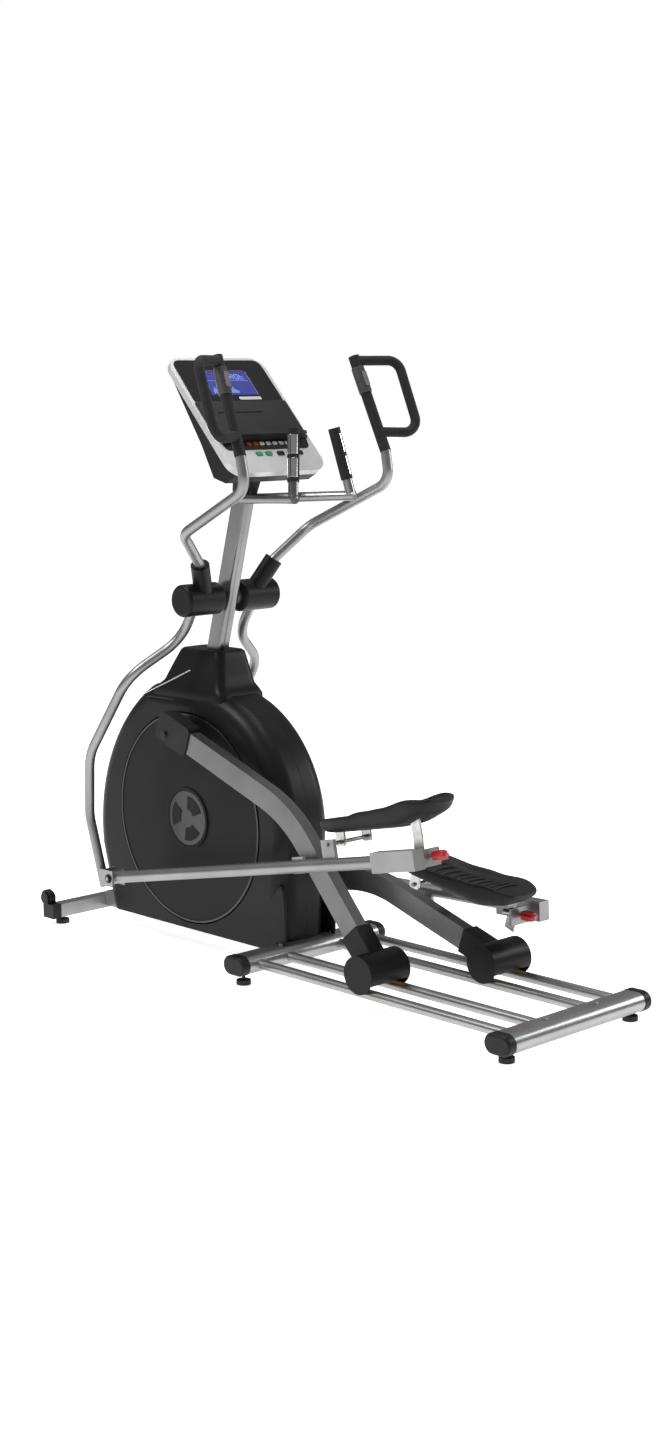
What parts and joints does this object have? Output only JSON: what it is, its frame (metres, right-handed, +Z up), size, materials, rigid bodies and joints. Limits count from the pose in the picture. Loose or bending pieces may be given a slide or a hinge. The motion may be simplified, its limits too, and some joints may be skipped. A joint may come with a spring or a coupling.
{
  "type": "elliptical trainer",
  "caption": "Front-drive elliptical trainer: a crank drives rolling arms on floor rails, which carry foot pedals linked to swinging hand levers.",
  "frame": {"origin": "on the floor, under the middle of the whole machine's box", "axes": "+X to the user's right, +Y the way the user faces (drive end), +Z up"},
  "size_m": [0.8504, 2.1339, 1.8622],
  "materials": {
    "frame_paint": "satin silver-grey powder coat",
    "arm_paint": "satin mid-grey powder coat",
    "black_plastic": "fine-textured charcoal moulding",
    "grip_foam": "matt black foam",
    "foot_rubber": "matt black rubber",
    "bearing_steel": "turned steel",
    "pulley_aluminium": "cast and turned",
    "flywheel_iron": "machined iron",
    "belt_rubber": "ribbed belt",
    "pulse_chrome": "polished",
    "console_gloss": "gloss black with silver edge",
    "display_glass": "clear window over a blue display",
    "key_plastic": "moulded key",
    "pod_plastic": "grey insert",
    "roller_urethane": "amber urethane",
    "knob_red": "red knob on a plated screw",
    "pedal_rubber": "ribbed black moulding"
  },
  "bodies": {
    "frame": {"main_frame": "frame_paint", "front_stabilizer": "frame_paint", "middle_stabilizer": "frame_paint", "rear_stabilizer": "frame_paint", "end_caps": "black_plastic", "rail_tubes": "frame_paint", "fixed_feet": "foot_rubber", "crank_bearings": "bearing_steel", "brake_magnet": "bearing_steel", "drive_belt": "belt_rubber", "side_case_left": "black_plastic", "side_case_right": "black_plastic", "case_collar": "black_plastic", "pivot_axle": "bearing_steel", "mast": "frame_paint", "handlebar": "frame_paint", "handlebar_grips": "grip_foam", "pulse_plates": "pulse_chrome", "console_front": "console_gloss", "console_display": "display_glass", "console_back": "black_plastic", "reading_rack": "black_plastic", "frame_bolts": "bearing_steel"},
    "crank": {"crank_shaft": "bearing_steel", "crank_disc_left": "black_plastic", "crank_disc_right": "black_plastic", "drive_pulley": "pulley_aluminium"},
    "flywheel": {"flywheel": "flywheel_iron"},
    "resistance_key_up": {"resistance_key_up": "key_plastic"},
    "resistance_key_down": {"resistance_key_down": "key_plastic"},
    "arm_left": {"connecting_arm_left": "arm_paint", "arm_cap_left": "black_plastic", "roller_cover_left": "black_plastic"},
    "swing_left": {"swing_arm_left": "arm_paint", "handle_tube_left": "arm_paint", "pivot_cover_left": "black_plastic", "handle_grip_left": "grip_foam", "remote_pod_left": "pod_plastic"},
    "rollers_left": {"rollers_left": "roller_urethane"},
    "pedal_arm_left": {"pedal_arm_left": "arm_paint"},
    "pedal_left": {"pedal_left": "pedal_rubber"},
    "tilt_knob_left": {"tilt_knob_left": "knob_red"},
    "transport_wheel_left": {"transport_wheel_left": "black_plastic"},
    "rear_foot_left": {"rear_foot_left": "foot_rubber"},
    "remote_key_left": {"remote_key_left": "key_plastic"},
    "arm_right": {"connecting_arm_right": "arm_paint", "arm_cap_right": "black_plastic", "roller_cover_right": "black_plastic"},
    "swing_right": {"swing_arm_right": "arm_paint", "handle_tube_right": "arm_paint", "pivot_cover_right": "black_plastic", "handle_grip_right": "grip_foam", "remote_pod_right": "pod_plastic"},
    "rollers_right": {"rollers_right": "roller_urethane"},
    "pedal_arm_right": {"pedal_arm_right": "arm_paint"},
    "pedal_right": {"pedal_right": "pedal_rubber"},
    "tilt_knob_right": {"tilt_knob_right": "knob_red"},
    "transport_wheel_right": {"transport_wheel_right": "black_plastic"},
    "rear_foot_right": {"rear_foot_right": "foot_rubber"},
    "remote_key_right": {"remote_key_right": "key_plastic"}
  },
  "joints": [
    {"name": "crank_turn", "type": "hinge", "parent": "frame", "child": "crank", "pos_m": [0, 0.465, 0.42], "axis": [1, 0, 0], "range_deg": [-25, 25]},
    {"name": "flywheel_spin", "type": "hinge", "parent": "frame", "child": "flywheel", "pos_m": [0, 0.168, 0.33], "axis": [1, 0, 0], "range_deg": [-151, 151]},
    {"name": "arm_travel_left", "type": "slide", "parent": "frame", "child": "arm_left", "axis": [0, 1, 0], "range_m": [-0.123, 0.123]},
    {"name": "roller_spin_left", "type": "hinge", "parent": "arm_left", "child": "rollers_left", "pos_m": [-0.165, -0.44303, 0.1153], "axis": [1, 0, 0], "range_deg": [-186, 186]},
    {"name": "swing_turn_left", "type": "hinge", "parent": "frame", "child": "swing_left", "pos_m": [-0.1, 0.376, 1.121], "axis": [1, 0, 0], "range_deg": [-9, 9]},
    {"name": "pedal_arm_turn_left", "type": "hinge", "parent": "swing_left", "child": "pedal_arm_left", "pos_m": [-0.248, 0.655, 0.222], "axis": [1, 0, 0], "range_deg": [-6, 6]},
    {"name": "pedal_tilt_left", "type": "hinge", "parent": "pedal_arm_left", "child": "pedal_left", "pos_m": [-0.165, -0.32119, 0.47566], "axis": [1, 0, 0], "range_deg": [0, 12.3]},
    {"name": "knob_turn_left", "type": "hinge", "parent": "pedal_arm_left", "child": "tilt_knob_left", "pos_m": [-0.171, -0.654, 0.48419], "axis": [0, 0.9805, -0.1964], "range_deg": [0, 720]},
    {"name": "transport_wheel_spin_left", "type": "hinge", "parent": "frame", "child": "transport_wheel_left", "pos_m": [-0.233, 1.04, 0.088], "axis": [1, 0, 0], "continuous": true},
    {"name": "rear_foot_turn_left", "type": "hinge", "parent": "frame", "child": "rear_foot_left", "pos_m": [-0.261, -1.0205, 0], "axis": [0, 0, 1], "range_deg": [-180, 180]},
    {"name": "remote_key_press_left", "type": "slide", "parent": "swing_left", "child": "remote_key_left", "axis": [-0.0242, 0.9251, -0.379], "range_m": [0, 0.0015], "stiffness_N_per_m": 600, "springref_m": -0.0006},
    {"name": "arm_travel_right", "type": "slide", "parent": "frame", "child": "arm_right", "axis": [0, 1, 0], "range_m": [-0.123, 0.123]},
    {"name": "roller_spin_right", "type": "hinge", "parent": "arm_right", "child": "rollers_right", "pos_m": [0.165, -0.61472, 0.1153], "axis": [1, 0, 0], "range_deg": [-186, 186]},
    {"name": "swing_turn_right", "type": "hinge", "parent": "frame", "child": "swing_right", "pos_m": [0.1, 0.376, 1.121], "axis": [1, 0, 0], "range_deg": [-9, 9]},
    {"name": "pedal_arm_turn_right", "type": "hinge", "parent": "swing_right", "child": "pedal_arm_right", "pos_m": [0.248, 0.655, 0.222], "axis": [1, 0, 0], "range_deg": [-6, 6]},
    {"name": "pedal_tilt_right", "type": "hinge", "parent": "pedal_arm_right", "child": "pedal_right", "pos_m": [0.165, -0.34987, 0.30879], "axis": [1, 0, 0], "range_deg": [-12.3, 0]},
    {"name": "knob_turn_right", "type": "hinge", "parent": "pedal_arm_right", "child": "tilt_knob_right", "pos_m": [0.171, -0.67941, 0.26152], "axis": [0, 0.9996, -0.0296], "range_deg": [-720, 0]},
    {"name": "transport_wheel_spin_right", "type": "hinge", "parent": "frame", "child": "transport_wheel_right", "pos_m": [0.233, 1.04, 0.088], "axis": [1, 0, 0], "continuous": true},
    {"name": "rear_foot_turn_right", "type": "hinge", "parent": "frame", "child": "rear_foot_right", "pos_m": [0.261, -1.0205, 0], "axis": [0, 0, 1], "range_deg": [-180, 180]},
    {"name": "remote_key_press_right", "type": "slide", "parent": "swing_right", "child": "remote_key_right", "axis": [0.0242, 0.9251, -0.379], "range_m": [0, 0.0015], "stiffness_N_per_m": 600, "springref_m": -0.0006},
    {"name": "up_key_press", "type": "slide", "parent": "frame", "child": "resistance_key_up", "axis": [0, 0.7385, -0.6743], "range_m": [0, 0.0015], "stiffness_N_per_m": 600, "springref_m": -0.0006},
    {"name": "down_key_press", "type": "slide", "parent": "frame", "child": "resistance_key_down", "axis": [0, 0.7385, -0.6743], "range_m": [0, 0.0015], "stiffness_N_per_m": 600, "springref_m": -0.0006}
  ],
  "couplings": [
    {"joint": "flywheel_spin", "follows": "crank_turn", "ratio": 6},
    {"joint": "arm_travel_left", "follows": "crank_turn", "m_per_rad": -0.28},
    {"joint": "roller_spin_left", "follows": "crank_turn", "ratio": 7.3684},
    {"joint": "swing_turn_left", "follows": "crank_turn", "ratio": -0.3325},
    {"joint": "pedal_arm_turn_left", "follows": "crank_turn", "ratio": 0.2235},
    {"joint": "knob_turn_left", "follows": "pedal_tilt_left", "ratio": 58.537},
    {"joint": "arm_travel_right", "follows": "crank_turn", "m_per_rad": 0.28},
    {"joint": "roller_spin_right", "follows": "crank_turn", "ratio": -7.3684},
    {"joint": "swing_turn_right", "follows": "crank_turn", "ratio": 0.312},
    {"joint": "pedal_arm_turn_right", "follows": "crank_turn", "ratio": -0.2165},
    {"joint": "knob_turn_right", "follows": "pedal_tilt_right", "ratio": 58.537}
  ]
}
